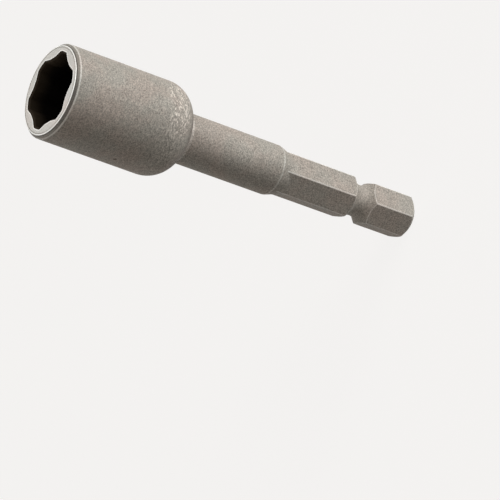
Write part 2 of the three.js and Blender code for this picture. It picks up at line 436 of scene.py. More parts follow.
def wear_and_painted_highlight(material, point):
    """0 to 1: a worn band round the shoulder, brightest on one side as a painted highlight, and a lighter
    worn spot on the neck.
    """
    # the shoulder band's bright side is a painted highlight as well as wear
    near_side = polar_point(SOCKET_RADIUS, SHOULDER_WEAR_SHEEN_ANGLE, SHOULDER_WEAR_SHEEN_HEIGHT)
    side = spot_share(material, point, near_side, SHOULDER_WEAR_SHEEN_SIZE)
    lift = combine(material, "SUBTRACT", height_of(material, point), SHOULDER_WEAR_SHEEN_HEIGHT)
    band = fade(material, combine(material, "ABSOLUTE", lift), BAND_SIZE, BAND_FULL)
    shoulder = combine(material, "MULTIPLY", fade(material, side, 0, 1, FAR_SIDE_SHARE, 1.0), band)
    on_neck = polar_point(NECK_RADIUS, NECK_WEAR_ANGLE, NECK_WEAR_HEIGHT)
    neck = spot_share(material, point, on_neck, NECK_WEAR_SIZE)
    return combine(material, "MAXIMUM", shoulder, combine(material, "MULTIPLY", neck, NECK_WEAR_SHARE))


print(f"wear round the shoulder at {SHOULDER_WEAR_SHEEN_HEIGHT / MM:.1f} mm")

# %% Painted shade
JOINT_SHADE_START = REAR_FACE + 2.4 * MM
JOINT_SHADE_FULL = REAR_FACE + 0.3 * MM
JOINT_SHADE_LEVEL = 0.42
BEVEL_SHADE_ANGLE = math.radians(-112)
BEVEL_SHADE_FULL = 2.5 * MM
BEVEL_SHADE_SIZE = 6.5 * MM
BEVEL_SHADE_LEVEL = 0.5


def joint_painted_shade(material, point):
    """Painted shade on the shoulder, darkest beside the neck. The neck itself is not darkened."""
    height = height_of(material, point)
    # painted shade: the shoulder darkens towards the joint with the neck
    painted_dark = fade(material, height, JOINT_SHADE_FULL, JOINT_SHADE_START, JOINT_SHADE_LEVEL, 1.0)
    on_neck = combine(material, "LESS_THAN", height, REAR_FACE - TOUCH)
    return combine(material, "MAXIMUM", painted_dark, on_neck)


def bevel_painted_shade(material, point):
    """Painted shade on one side of the bevel round the mouth."""
    away = distance_to(material, point, polar_point(SOCKET_RADIUS, BEVEL_SHADE_ANGLE, MOUTH))
    return fade(material, away, BEVEL_SHADE_FULL, BEVEL_SHADE_SIZE, BEVEL_SHADE_LEVEL, 1.0)


print(f"grime from {REAR_FACE / MM:.1f} to {JOINT_SHADE_START / MM:.1f} mm, and on one side of the bevel")

# %% [markdown]
# The body, the rubbed edges and the turned rim are the same steel with more or less of its grey coat
# left, and the rubbed and bright edges also carry painted highlights. They could be separate materials,
# but then a change to the grain would have to be made in each of them. So the steel is one recipe with
# a few dials. Grain, mottle and streaks set the brightness, clouds shift the tint, and the bright ends
# of the streaks are flecks of bare metal where it is worn, which on the shoulder also make a painted
# highlight.

# %% Blasted steel
GRAIN_SIZE = 0.20 * MM
GRAIN_DEPTH = 0.012 * MM
MOTTLE_SIZE = 0.7 * MM
CLOUD_SIZE = 5 * MM
CLOUD_SPAN = (0.35, 0.65)
MOTTLE_SHARE = 0.1
STREAK_SHARE = 0.2
BARE_SPAN = (0.50, 0.62)
BARE_SHARE = 0.15
BARE_GAIN = 2.2
BARE_SHINE = 0.2
WARM_CLOUD = (1.03, 0.99, 0.96)
GREEN_CLOUD = (0.97, 1.0, 0.98)
ROUGHNESS_SWING = 0.05
MATTE_LEVEL = 0.35


def tinted(colour, gains):
    """A colour with each channel times its gain."""
    return tuple(part * gain for part, gain in zip(colour, gains)) + (1,)


def steel(name, colour, contrast, wear, roughness, metallic, painted_shade=joint_painted_shade):
    """Blasted steel: its colour, the strength of its grain and bare flecks, its shine and its painted shade.
    """
    material, shader = new_finish(name)
    point = object_point(material)
    fine = grain(material, point, GRAIN_SIZE, detail=3.0, harshness=0.6)
    mottle = grain(material, point, MOTTLE_SIZE)
    cloud = grain(material, point, CLOUD_SIZE, detail=3.0)
    streaks = turned_streaks(material, point)

    shade = combine(material, "ADD", swing(material, fine, contrast, middle=1.0),
                    swing(material, mottle, MOTTLE_SHARE * contrast))
    shade = combine(material, "ADD", shade, swing(material, streaks, STREAK_SHARE * contrast))
    # painted shade from the function given: beside the neck, or on one side of the bevel
    shade = combine(material, "MULTIPLY", shade, painted_shade(material, point))
    clouded = tint(material, fade(material, cloud, *CLOUD_SPAN),
                   tinted(colour, WARM_CLOUD), tinted(colour, GREEN_CLOUD))
    shaded = tint(material, 1.0, clouded, shade, blend="MULTIPLY")

    # bare flecks crowd on the shoulder band: wear together with a painted highlight
    amount = fade(material, wear_and_painted_highlight(material, point), 0, 1, BARE_SHARE * wear, wear)
    bare = combine(material, "MULTIPLY", fade(material, streaks, *BARE_SPAN), amount)
    bright = tuple(min(1.0, part * BARE_GAIN) for part in colour) + (1,)
    flecked = tint(material, bare, shaded, bright)
    rusted = tint(material, rust(material, point, mottle), flecked, RUST_COLOUR)

    plug_in(material, shader, colour=rusted,
            roughness=swing(material, fine, ROUGHNESS_SWING, middle=roughness),
            metallic=fade(material, bare, 0, 1, metallic, metallic + BARE_SHINE),
            normal=relief(material, fine, GRAIN_DEPTH))
    shader.inputs["Specular IOR Level"].default_value = MATTE_LEVEL
    return material


print(f"grain of {GRAIN_SIZE / MM:.2f} mm, {GRAIN_DEPTH / MM:.3f} mm deep")

# %% Steels of the tool
STEEL_COLOUR = (0.459, 0.423, 0.385)
WORN_AND_HIGHLIGHT_COLOUR = (0.64, 0.61, 0.57)
RUBBED_HIGHLIGHT_COLOUR = (0.78, 0.75, 0.71)
PAINTED_HIGHLIGHT_COLOUR = (0.98, 0.96, 0.94)
RIM_COLOUR = (0.75, 0.725, 0.70)
BEVEL_COLOUR = (0.36, 0.333, 0.30)
LINE_COLOUR = (0.15, 0.138, 0.125)
blasted_steel = steel("blasted_steel", STEEL_COLOUR, contrast=0.45, wear=0.85, roughness=0.70, metallic=0.05)
# pale worn steel for edges; on the neck's lead and foot it is also a painted highlight
worn_and_highlight_edge = steel("worn_and_highlight_edge", WORN_AND_HIGHLIGHT_COLOUR, contrast=0.40, wear=0.3, roughness=0.55, metallic=0.10)
# pale rubbed steel for round edges, pale enough to be a painted highlight as well as wear
rubbed_highlight_edge = steel("rubbed_highlight_edge", RUBBED_HIGHLIGHT_COLOUR, contrast=0.20, wear=0.2, roughness=0.36, metallic=0.05)
# near-white steel for thin edge lines: a painted highlight
painted_highlight_edge = steel("painted_highlight_edge", PAINTED_HIGHLIGHT_COLOUR, contrast=0.10, wear=0.3, roughness=0.42, metallic=0.7)
turned_rim = steel("turned_rim", RIM_COLOUR, contrast=0.14, wear=0.2, roughness=0.48, metallic=0.6)
# the bevel takes painted shade on one side
turned_bevel = steel("turned_bevel", BEVEL_COLOUR, contrast=0.25, wear=0.2, roughness=0.55, metallic=0.10,
                     painted_shade=bevel_painted_shade)
# a dark finish for the bevel's upper part beside the rim: painted shade
dark_line = steel("dark_line", LINE_COLOUR, contrast=0.30, wear=0.2, roughness=0.60, metallic=0.05)

# %% [markdown]
# Inside the hex the steel keeps its black oiled skin, and the broach has left fine lines along it.
# A plain black would look like a hole, so the skin gets an oil film of its own. The lines run along
# the axis, so the noise is stretched that way. Nuts have rubbed the skin to a brown in the first few
# millimetres below the mouth.

# %% Oiled bore
BROACH_LINE = 0.12 * MM
BROACH_STRETCH = 0.02
BROACH_DEPTH = 0.006 * MM
BROACH_SPAN = (0.5, 0.8)
BROACH_SHARE = 0.3
FILM_SIZE = 2 * MM
FILM_ROUGHNESS = (0.5, 0.65)
RUBBED_DEPTH = 3 * MM
THICK_OIL = (0.0015, 0.0011, 0.0008, 1)
THIN_OIL = (0.004, 0.003, 0.002, 1)
RUBBED_SKIN = (0.060, 0.046, 0.032, 1)
BROACHED_SKIN = (0.045, 0.036, 0.027, 1)
OILED_LEVEL = 0.05


def oiled_bore():
    """Dark steel with an oil film and broach lines."""
    material, shader = new_finish("oiled_bore")
    point = object_point(material)
    drawn = combine_vectors(material, "MULTIPLY", point, (1, 1, BROACH_STRETCH))
    lines = grain(material, drawn, BROACH_LINE)
    film = grain(material, point, FILM_SIZE, detail=3.0)
    rubbed = fade(material, height_of(material, point), MOUTH - RUBBED_DEPTH, MOUTH)
    skin = tint(material, rubbed, tint(material, film, THICK_OIL, THIN_OIL), RUBBED_SKIN)
    share = combine(material, "MULTIPLY", fade(material, lines, *BROACH_SPAN), BROACH_SHARE)
    lined = tint(material, combine(material, "MULTIPLY", share, rubbed), skin, BROACHED_SKIN)
    plug_in(material, shader, colour=lined,
            roughness=fade(material, film, *NOISE_CORE, *FILM_ROUGHNESS),
            normal=relief(material, lines, BROACH_DEPTH))
    shader.inputs["Specular IOR Level"].default_value = OILED_LEVEL
    return material


dark_bore = oiled_bore()

# %% [markdown]
# ## The socket
# The drum is turned from bar: a rim with a small bevel, a straight barrel, and a large round shoulder
# that falls to a narrow rear face. The hex is broached into it with a land in the middle of each
# side and relieved corners, so that it drives on the flats of a nut and not on its corners. It could
# be a spun profile with a Boolean hex, but pulled rings give the exact outline: the ring starts as
# the hex on its floor, rises to the broken edge of the mouth, opens out over the rim and its fine
# turned line, and goes down the outside, round the shoulder and up the inner bores, to be bridged to
# its start.

# %% Outline of the broached hex
NUT_SIZE = 10 * MM
NUT_CLEARANCE = 0.15 * MM
CORNER_CLEARANCE = 0.05 * MM
HEX_LAND = 1.5 * MM
HEX_FLANK = math.radians(13.5)
HEX_TURN = math.radians(20)
LAND_RADIUS = (NUT_SIZE + NUT_CLEARANCE) / 2
RELIEF_RADIUS = NUT_SIZE / math.sqrt(3) + CORNER_CLEARANCE
FLANK_DISTANCE = LAND_RADIUS * math.cos(HEX_FLANK) - HEX_LAND / 2 * math.sin(HEX_FLANK)
LAND_ANGLE = math.atan2(HEX_LAND / 2, LAND_RADIUS)
FLANK_END = math.acos(FLANK_DISTANCE / RELIEF_RADIUS) - HEX_FLANK
EDGE_BREAK = 0.25 * MM
BORDER = 0.17 * MM


def from_side(angle, turn):
    """Angle from the middle of the nearest side, without sign."""
    return abs((angle - turn + SECTOR / 2) % SECTOR - SECTOR / 2)


def hex_outline(angle, spread=0.0):
    """Radius of the hex: a land, a flank that falls away from the nut, and a relief arc."""
    off = from_side(angle, HEX_TURN)
    land = (LAND_RADIUS + spread) / math.cos(off)
    flank = (FLANK_DISTANCE + spread) / math.cos(off + HEX_FLANK)
    return min(RELIEF_RADIUS + spread, max(land, flank))


def mouth_outline(angle):
    """Radius of the hex at the mouth, where its edge is broken."""
    return hex_outline(angle, EDGE_BREAK)


def border_outline(angle):
    """Radius to which the rim beside the mouth carries a painted highlight."""
    return hex_outline(angle, EDGE_BREAK + BORDER)


print(f"hex: {2 * LAND_RADIUS / MM:.2f} mm across the lands, {2 * RELIEF_RADIUS / MM:.2f} mm at the corners")

# %% Outside of the socket
HEX_DEPTH = 8.5 * MM
RIM_BEVEL_RADIAL = 0.5 * MM
RIM_BEVEL_AXIAL = 0.6 * MM
LINE_SHARE = 0.35
RIM_BAND = 0.12 * MM
RIM_LINE = 0.15 * MM
RIM_LINE_DEPTH = RIM_LINE / 4
REAR_STEP = 0.05 * MM
SHOULDER_RADIUS = 4.6 * MM
SHOULDER_STEPS = 16
HEX_FLOOR = MOUTH - HEX_DEPTH
RIM_RADIUS = SOCKET_RADIUS - RIM_BEVEL_RADIAL
BAND_RADIUS = RIM_RADIUS - RIM_BAND
BEVEL_FOOT = MOUTH - RIM_BEVEL_AXIAL
REAR_FACE_RADIUS = NECK_RADIUS + REAR_STEP
shoulder_middle = SOCKET_RADIUS - SHOULDER_RADIUS
shoulder_turn = math.acos((REAR_FACE_RADIUS - shoulder_middle) / SHOULDER_RADIUS)
shoulder_height = REAR_FACE + SHOULDER_RADIUS * math.sin(shoulder_turn)

socket_angles = sector_angles(
    breaks=[-SECTOR / 2, -FLANK_END, -LAND_ANGLE, LAND_ANGLE, FLANK_END, SECTOR / 2],
    steps=[5, 8, 6, 8, 5], turn=HEX_TURN)
socket = start_ring("socket_drum", socket_angles, hex_outline, HEX_FLOOR)
pull_ring(hex_outline, MOUTH - EDGE_BREAK)
pull_ring(mouth_outline, MOUTH)
pull_ring(border_outline, MOUTH)
pull_ring(BAND_RADIUS - RIM_LINE, MOUTH)
pull_ring(BAND_RADIUS - RIM_LINE / 2, MOUTH - RIM_LINE_DEPTH)
pull_ring(BAND_RADIUS, MOUTH)
pull_ring(RIM_RADIUS, MOUTH)
pull_ring(RIM_RADIUS + LINE_SHARE * RIM_BEVEL_RADIAL, MOUTH - LINE_SHARE * RIM_BEVEL_AXIAL)
pull_ring(SOCKET_RADIUS, BEVEL_FOOT)
for step in range(SHOULDER_STEPS + 1):
    down = shoulder_turn * step / SHOULDER_STEPS
    pull_ring(shoulder_middle + SHOULDER_RADIUS * math.cos(down),
              shoulder_height - SHOULDER_RADIUS * math.sin(down))
print(f"outside pulled, shoulder from {shoulder_height / MM:.1f} mm down to {REAR_FACE / MM:.1f} mm")

# %% Bores of the socket
PRESS_BORE = 3.05 * MM
PRESS_BORE_CHAMFER = 0.3 * MM
GROOVE_LIP = 0.7 * MM
GROOVE_SLACK = 0.1 * MM
CUP_CLEARANCE = 0.1 * MM
cup_low, cup_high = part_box("magnet_cup")
pad_low, pad_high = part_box("cushion_pad")
ring_low, ring_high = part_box("retaining_ring")
MAGNET_BORE = cup_high.x + CUP_CLEARANCE
RING_GROOVE = ring_high.y + GROOVE_SLACK
GROOVE_TOP = HEX_FLOOR - GROOVE_LIP
GROOVE_FLOOR = ring_low.z - GROOVE_SLACK / 2
BORE_FLOOR = pad_low.z

pull_ring(PRESS_BORE + PRESS_BORE_CHAMFER, REAR_FACE)
pull_ring(PRESS_BORE, REAR_FACE + PRESS_BORE_CHAMFER)
pull_ring(PRESS_BORE, BORE_FLOOR)
pull_ring(MAGNET_BORE, BORE_FLOOR)
pull_ring(MAGNET_BORE, GROOVE_FLOOR)
pull_ring(RING_GROOVE, GROOVE_FLOOR)
pull_ring(RING_GROOVE, GROOVE_TOP)
pull_ring(MAGNET_BORE, GROOVE_TOP)
pull_ring(MAGNET_BORE, HEX_FLOOR)
bpy.ops.mesh.select_non_manifold()
bpy.ops.mesh.bridge_edge_loops()
print(f"bores pulled, magnet bore {2 * MAGNET_BORE / MM:.1f} mm across")

# %% [markdown]
# The rim is turned bright. A painted highlight runs beside the mouth and along its outer edge, and its
# bevel is darker, most of all in a line of painted shade beside the rim. These could be masks in one
# material, but their edges would blur. Here the rings already divide the faces at those places, so each
# face takes its own finish. The roundings come last, and catch the light in thin bright lines, some of
# them brightened by a painted highlight finish.

# %% Places on the socket
def inside(point):
    """The hex walls, its floor and the bores behind it."""
    in_hex = point.z > BORE_FLOOR - TOUCH
    widest = mouth_outline(angle_of(point)) if in_hex else PRESS_BORE + PRESS_BORE_CHAMFER
    return radius_of(point) < widest + TOUCH and REAR_FACE + TOUCH < point.z < MOUTH - TOUCH


def rim_face(point):
    """The flat ring round the mouth."""
    return point.z > MOUTH - TOUCH


def rim_border(point):
    """The parts of the rim with a painted highlight, beside the mouth and along its outer edge."""
    return rim_face(point) and not border_outline(angle_of(point)) < radius_of(point) < BAND_RADIUS


def rim_groove(point):
    """The fine line that is turned in the rim."""
    sunk = MOUTH - RIM_LINE < point.z < MOUTH - TOUCH
    return sunk and BAND_RADIUS - RIM_LINE < radius_of(point) < BAND_RADIUS


def rim_bevel(point):
    """The bevel between the rim and the barrel."""
    return BEVEL_FOOT < point.z < MOUTH - TOUCH and radius_of(point) > RIM_RADIUS


def bevel_line(point):
    """The upper part of the bevel, beside the rim."""
    return rim_bevel(point) and point.z > MOUTH - LINE_SHARE * RIM_BEVEL_AXIAL


print(f"rim from the mouth to {2 * RIM_RADIUS / MM:.1f} mm across, bevel down to {BEVEL_FOOT / MM:.1f} mm")

# %% Finishes and roundings of the socket
MOUTH_ROUND = 0.05 * MM
RIM_ROUND = 0.10 * MM
BEVEL_ROUND = 0.14 * MM
REAR_ROUND = 0.12 * MM
EDGE_FINISHES = [worn_and_highlight_edge, rubbed_highlight_edge, painted_highlight_edge, turned_rim, turned_bevel, dark_line, dark_bore]
WORN_AND_HIGHLIGHT, RUBBED_HIGHLIGHT, PAINTED_HIGHLIGHT, RIM, BEVEL, LINE, BORE = range(1, len(EDGE_FINISHES) + 1)
for finish in [blasted_steel] + EDGE_FINISHES:
    socket.data.materials.append(finish)

give_finish(BORE, inside)
give_finish(RIM, rim_face)
# painted highlight beside the mouth and along the rim's outer edge
give_finish(PAINTED_HIGHLIGHT, rim_border)
give_finish(WORN_AND_HIGHLIGHT, rim_groove)
give_finish(BEVEL, rim_bevel)
# painted shade: a dark line on the bevel beside the rim
give_finish(LINE, bevel_line)
round_ring(mouth_outline, MOUTH, MOUTH_ROUND)
# the rim's outer rounding also takes the painted highlight
round_ring(RIM_RADIUS, MOUTH, RIM_ROUND, finish=PAINTED_HIGHLIGHT)
# the bevel's foot is rounded in the pale rubbed finish: wear and a painted highlight
round_ring(SOCKET_RADIUS, BEVEL_FOOT, BEVEL_ROUND, finish=RUBBED_HIGHLIGHT)
round_ring(REAR_FACE_RADIUS, REAR_FACE, REAR_ROUND)
close_piece(socket)

# %% [markdown]
# ## The drive shank
# The shank starts as hex bar. The tail is chamfered, a round groove is turned for a detent ball, and
# the far end is turned to a cone, a neck and the spigot that the socket is pressed on. Each turned
# cut meets the six flats in a curved line. A Boolean would find those lines, but they are easy to
# state: at every angle, the cut meets the bar where its radius is the bar's radius there. So the
# rings follow the cuts exactly, and the edges between them can be rounded like any others.

# %% Outline of the hex bar
SHANK_FLATS = 6.35 * MM
SHANK_CORNER = 0.3 * MM
FLAT_RADIUS = SHANK_FLATS / 2
ROUND_MIDDLE = (FLAT_RADIUS - SHANK_CORNER) / math.cos(SECTOR / 2)
CORNER_RADIUS = ROUND_MIDDLE + SHANK_CORNER
ROUND_ANGLE = math.atan2(SHANK_CORNER * math.sin(SECTOR / 2),
                         ROUND_MIDDLE + SHANK_CORNER * math.cos(SECTOR / 2))
ANGLE_SLACK = 1e-6


def bar_outline(angle):
    """Radius of the hex bar: flats that face plus and minus X, and slightly round corners."""
    off = from_side(angle, 0)
    corner = SECTOR / 2 - off
    if corner >= ROUND_ANGLE - ANGLE_SLACK:
        return FLAT_RADIUS / math.cos(off)
    reach = SHANK_CORNER ** 2 - (ROUND_MIDDLE * math.sin(corner)) ** 2
    return ROUND_MIDDLE * math.cos(corner) + math.sqrt(reach)


print(f"bar: {SHANK_FLATS / MM:.2f} mm across flats, {2 * CORNER_RADIUS / MM:.2f} mm across corners")

# %% Where the cuts meet the bar
TAIL_RADIUS = 2.7 * MM
TAIL_SLOPE = math.tan(math.radians(40))
GROOVE_HEIGHT = 9.5 * MM
GROOVE_ROUND = 2.2 * MM
GROOVE_WAIST = 4.9 / 2 * MM
GROOVE_MIDDLE = GROOVE_WAIST + GROOVE_ROUND
HEX_LENGTH = 24.25 * MM
CONE_SLOPE = math.tan(math.radians(18))
NECK_FOOT = HEX_LENGTH + (NECK_RADIUS - CORNER_RADIUS) / CONE_SLOPE


def chamfer_line(angle):
    """Height at which the tail chamfer leaves the bar."""
    return (bar_outline(angle) - TAIL_RADIUS) * TAIL_SLOPE


def cone_line(angle):
    """Height at which the cone takes over from the bar."""
    return HEX_LENGTH + (bar_outline(angle) - CORNER_RADIUS) / CONE_SLOPE


def groove_ring(share):
    """Radius and height round the groove. A share of -1 or 1 lies on the bar, and 0 on the floor."""
    def bend(angle):
        return share * math.acos((GROOVE_MIDDLE - bar_outline(angle)) / GROOVE_ROUND)

    def radius(angle):
        return GROOVE_MIDDLE - GROOVE_ROUND * math.cos(bend(angle))

    def height(angle):
        return GROOVE_HEIGHT + GROOVE_ROUND * math.sin(bend(angle))

    return radius, height


print(f"cone runs from {cone_line(0) / MM:.2f} mm on the flats to {NECK_FOOT / MM:.2f} mm at the neck")

# %% Rings of the shank
GROOVE_STEPS = 12
NECK_LEAD_DEPTH = 0.14 * MM
NECK_LEAD_LENGTH = 0.65 * MM
SPIGOT_RADIUS = 3 * MM
SPIGOT_CHAMFER = 0.4 * MM
LEAD_FOOT = REAR_FACE - NECK_LEAD_LENGTH

shank_angles = sector_angles(
    breaks=[-SECTOR / 2, -ROUND_ANGLE, ROUND_ANGLE, SECTOR / 2],
    steps=[12, 8, 12], turn=SECTOR / 2)
shank = start_ring("hex_shank", shank_angles, TAIL_RADIUS, 0)
bpy.ops.mesh.edge_face_add()
select_ring(TAIL_RADIUS, 0)
pull_ring(bar_outline, chamfer_line)
for step in range(GROOVE_STEPS + 1):
    pull_ring(*groove_ring(2 * step / GROOVE_STEPS - 1))
pull_ring(bar_outline, cone_line)
pull_ring(NECK_RADIUS, NECK_FOOT)
pull_ring(NECK_RADIUS, LEAD_FOOT)
pull_ring(NECK_RADIUS - NECK_LEAD_DEPTH, REAR_FACE)
pull_ring(SPIGOT_RADIUS, REAR_FACE)
pull_ring(SPIGOT_RADIUS, SPIGOT_END - SPIGOT_CHAMFER)
pull_ring(SPIGOT_RADIUS - SPIGOT_CHAMFER, SPIGOT_END)
bpy.ops.mesh.edge_face_add()
print(f"shank pulled from 0 to {SPIGOT_END / MM:.2f} mm")

# %% Finishes and roundings of the shank
RUBBED_HIGHLIGHT_CORNER = 0.8 * ROUND_ANGLE
TAIL_ROUND = 0.1 * MM
CUT_ROUND = 0.08 * MM
FOOT_ROUND = 0.13 * MM
LEAD_ROUND = 0.1 * MM
for finish in (blasted_steel, worn_and_highlight_edge, rubbed_highlight_edge):
    shank.data.materials.append(finish)


def hex_corner(point):
    """The round corners of the bar, clear of the cuts."""
    angle = angle_of(point)
    near = SECTOR / 2 - from_side(angle, 0) < RUBBED_HIGHLIGHT_CORNER
    return near and point.z < cone_line(angle) and radius_of(point) > bar_outline(angle) - TOUCH


def neck_lead(point):
    """The taper that leads the neck into the joint."""
    return LEAD_FOOT < point.z < REAR_FACE - TOUCH


# the bar's corners take the pale rubbed finish: wear and a painted highlight
give_finish(RUBBED_HIGHLIGHT, hex_corner)
# the neck's lead takes the pale worn finish: wear and a painted highlight
give_finish(WORN_AND_HIGHLIGHT, neck_lead)
round_ring(TAIL_RADIUS, 0, TAIL_ROUND, finish=WORN_AND_HIGHLIGHT)
round_ring(bar_outline, chamfer_line, CUT_ROUND, finish=WORN_AND_HIGHLIGHT)
round_ring(*groove_ring(-1), CUT_ROUND, finish=WORN_AND_HIGHLIGHT)
round_ring(*groove_ring(1), CUT_ROUND, finish=WORN_AND_HIGHLIGHT)
round_ring(bar_outline, cone_line, CUT_ROUND)
# the neck's foot is rounded in the pale worn finish: wear and a painted highlight
round_ring(NECK_RADIUS, NECK_FOOT, FOOT_ROUND, finish=WORN_AND_HIGHLIGHT)
round_ring(NECK_RADIUS, LEAD_FOOT, LEAD_ROUND)
close_piece(shank)

# %% [markdown]
# ## The magnet set
# At the bottom of the hex sits a magnet in a steel pot, on a fibre pad, held by a split ring that
# snaps into a groove. All but the ring are turned shapes. They could be stacked from cylinders, but a
# profile keeps each piece one closed skin. It is drawn as a chain of vertices, its corners are
# rounded, and it is spun round the axis, just as a lathe would sweep it.

# %% Turning helpers
TURNED_STEPS = 96


def draw_profile(name, points, rounding):
    """Draws a chain of edges through (radius, height) points and rounds its inner corners."""
    bpy.ops.object.select_all(action="DESELECT")
    bpy.ops.mesh.primitive_plane_add(size=MM, location=(0, 0, 0))
    piece = bpy.context.object
    piece.name = piece.data.name = name
    bpy.ops.object.mode_set(mode="EDIT")
    bpy.ops.mesh.select_mode(type="VERT")
    bpy.ops.mesh.merge(type="CENTER")
    places = [Vector((radius, 0, height)) for radius, height in points]
    bpy.ops.transform.translate(value=places[0])
    for here, there in zip(places, places[1:]):
        bpy.ops.mesh.extrude_vertices_move(TRANSFORM_OT_translate={"value": there - here})
    mesh = bmesh.from_edit_mesh(piece.data)
    for vertex in mesh.verts:
        vertex.select_set(len(vertex.link_edges) == 2)
    bmesh.update_edit_mesh(piece.data)
    bpy.ops.mesh.bevel(offset=rounding, segments=ROUND_STEPS, affect="VERTICES")
    return piece


def spin_profile(piece, finish):
    """Spins a drawn profile once round the axis and closes the piece."""
    bpy.ops.mesh.select_all(action="SELECT")
    bpy.ops.mesh.spin(steps=TURNED_STEPS, angle=2 * math.pi, center=(0, 0, 0), axis=(0, 0, 1))
    piece.data.materials.append(finish)
    close_piece(piece)


print(f"turned pieces have {TURNED_STEPS} steps round")

# %% [markdown]
# The magnet is nickel plated and takes fine scratches from the nuts it holds. The pot is drawn sheet
# with a thin zinc coat, and the ring is dark spring steel. All three are one recipe of clouds and
# scratches, as they differ only in colour and wear. The pad is pressed fibre and gets its own.

# %% Plated metal
PLATE_CLOUD = 1.2 * MM
PLATE_CLOUD_SPAN = (0.35, 0.7)
PLATE_DULLING = 0.12
PLATE_METALLIC = 0.9
SCRATCH_SPAN = (0.6, 0.72)
SCRATCH_WIDTH = 0.07 * MM
SCRATCH_STRETCH = 0.06
SCRATCH_DEPTH = 0.003 * MM
SCRATCH_COLOUR = (0.8, 0.79, 0.76, 1)


def plated(name, colour, cloud_colour, roughness, scratch):
    """Plated or drawn metal with soft clouds and fine scratches."""
    material, shader = new_finish(name)
    point = object_point(material)
    cloud = grain(material, point, PLATE_CLOUD, detail=3.0)
    drawn = combine_vectors(material, "MULTIPLY", point, (1, SCRATCH_STRETCH, 1))
    scratches = fade(material, grain(material, drawn, SCRATCH_WIDTH, detail=1.0), *SCRATCH_SPAN)
    clouded = tint(material, fade(material, cloud, *PLATE_CLOUD_SPAN), colour, cloud_colour)
    worn = tint(material, combine(material, "MULTIPLY", scratches, scratch), clouded, SCRATCH_COLOUR)
    plug_in(material, shader, colour=worn,
            roughness=fade(material, cloud, *NOISE_CORE, roughness, roughness + PLATE_DULLING),
            normal=relief(material, scratches, SCRATCH_DEPTH))
    shader.inputs["Metallic"].default_value = PLATE_METALLIC
    return material


print(f"scratches are {SCRATCH_WIDTH / MM:.2f} mm wide")

# %% Metals of the magnet set
NICKEL = (0.60, 0.585, 0.54, 1)
DULL_NICKEL = (0.50, 0.485, 0.44, 1)
ZINC = (0.46, 0.47, 0.48, 1)
DULL_ZINC = (0.38, 0.39, 0.41, 1)
DARK_SPRING = (0.10, 0.10, 0.105, 1)
OILED_SPRING = (0.07, 0.068, 0.066, 1)
nickel_plate = plated("nickel_plate", NICKEL, DULL_NICKEL, roughness=0.28, scratch=0.5)
zinc_plate = plated("zinc_plate", ZINC, DULL_ZINC, roughness=0.4, scratch=0.2)
spring_steel = plated("spring_steel", DARK_SPRING, OILED_SPRING, roughness=0.38, scratch=0.15)

# %% Pressed fibre
FELT_SIZE = 0.15 * MM
FELT_DEPTH = 0.01 * MM
DARK_FIBRE = (0.075, 0.035, 0.022, 1)
PALE_FIBRE = (0.17, 0.095, 0.065, 1)
FIBRE_ROUGHNESS = 0.9


def pressed_fibre():
    """Red-brown fibre sheet with a short felted grain."""
    material, shader = new_finish("pressed_fibre")
    felt = grain(material, object_point(material), FELT_SIZE, detail=4.0, harshness=0.7)
    plug_in(material, shader, colour=tint(material, felt, DARK_FIBRE, PALE_FIBRE),
            normal=relief(material, felt, FELT_DEPTH))
    shader.inputs["Roughness"].default_value = FIBRE_ROUGHNESS
    return material


fibre = pressed_fibre()

# %% Magnet, pot and pad
magnet_low, magnet_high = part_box("magnet")
MAGNET_RADIUS = magnet_high.x
MAGNET_CHAMFER = 0.3 * MM
CUP_RADIUS = cup_high.x
CUP_WALL = 0.6 * MM
CUP_EDGE = 0.2 * MM
FINE_ROUND = 0.08 * MM

magnet = draw_profile("bar_magnet", [
    (0, magnet_low.z),
    (MAGNET_RADIUS - MAGNET_CHAMFER, magnet_low.z),
    (MAGNET_RADIUS, magnet_low.z + MAGNET_CHAMFER),
    (MAGNET_RADIUS, magnet_high.z - MAGNET_CHAMFER),
    (MAGNET_RADIUS - MAGNET_CHAMFER, magnet_high.z),
    (0, magnet_high.z),
], FINE_ROUND)
spin_profile(magnet, nickel_plate)

pot = draw_profile("magnet_pot", [
    (0, cup_low.z),
    (CUP_RADIUS - CUP_EDGE, cup_low.z),
    (CUP_RADIUS, cup_low.z + CUP_EDGE),
    (CUP_RADIUS, cup_high.z),
    (CUP_RADIUS - CUP_WALL, cup_high.z),
    (CUP_RADIUS - CUP_WALL, magnet_low.z),
    (0, magnet_low.z),
], FINE_ROUND)
spin_profile(pot, zinc_plate)

pad = draw_profile("fibre_pad", [
    (0, pad_low.z),
    (pad_high.x, pad_low.z),
    (pad_high.x, pad_high.z),
    (0, pad_high.z),
], FINE_ROUND)
spin_profile(pad, fibre)

# %% [markdown]
# The snap ring is stamped from sheet, with a gap for closing it and round ends. A cut tube would have
# square ends. So it is pulled like the shank, but this time a flat section travels round the axis: it
# starts as a sliver at one end's tip, widens over the round end, keeps its width round the ring and
# closes over the other end. Its long edges are softened last, as tumbling leaves them.

# %% Way round the snap ring
RING_GAP = 2.6 * MM
RING_CLEARANCE = 0.15 * MM
RING_INNER = MAGNET_RADIUS + RING_CLEARANCE
RING_OUTER = ring_high.y
RING_ARC_STEPS = 80
RING_END_STEPS = 6
RING_TIP = math.radians(85)
ring_middle = (RING_INNER + RING_OUTER) / 2
end_round = (RING_OUTER - RING_INNER) / 2
end_turn = (RING_GAP / 2 + end_round) / ring_middle


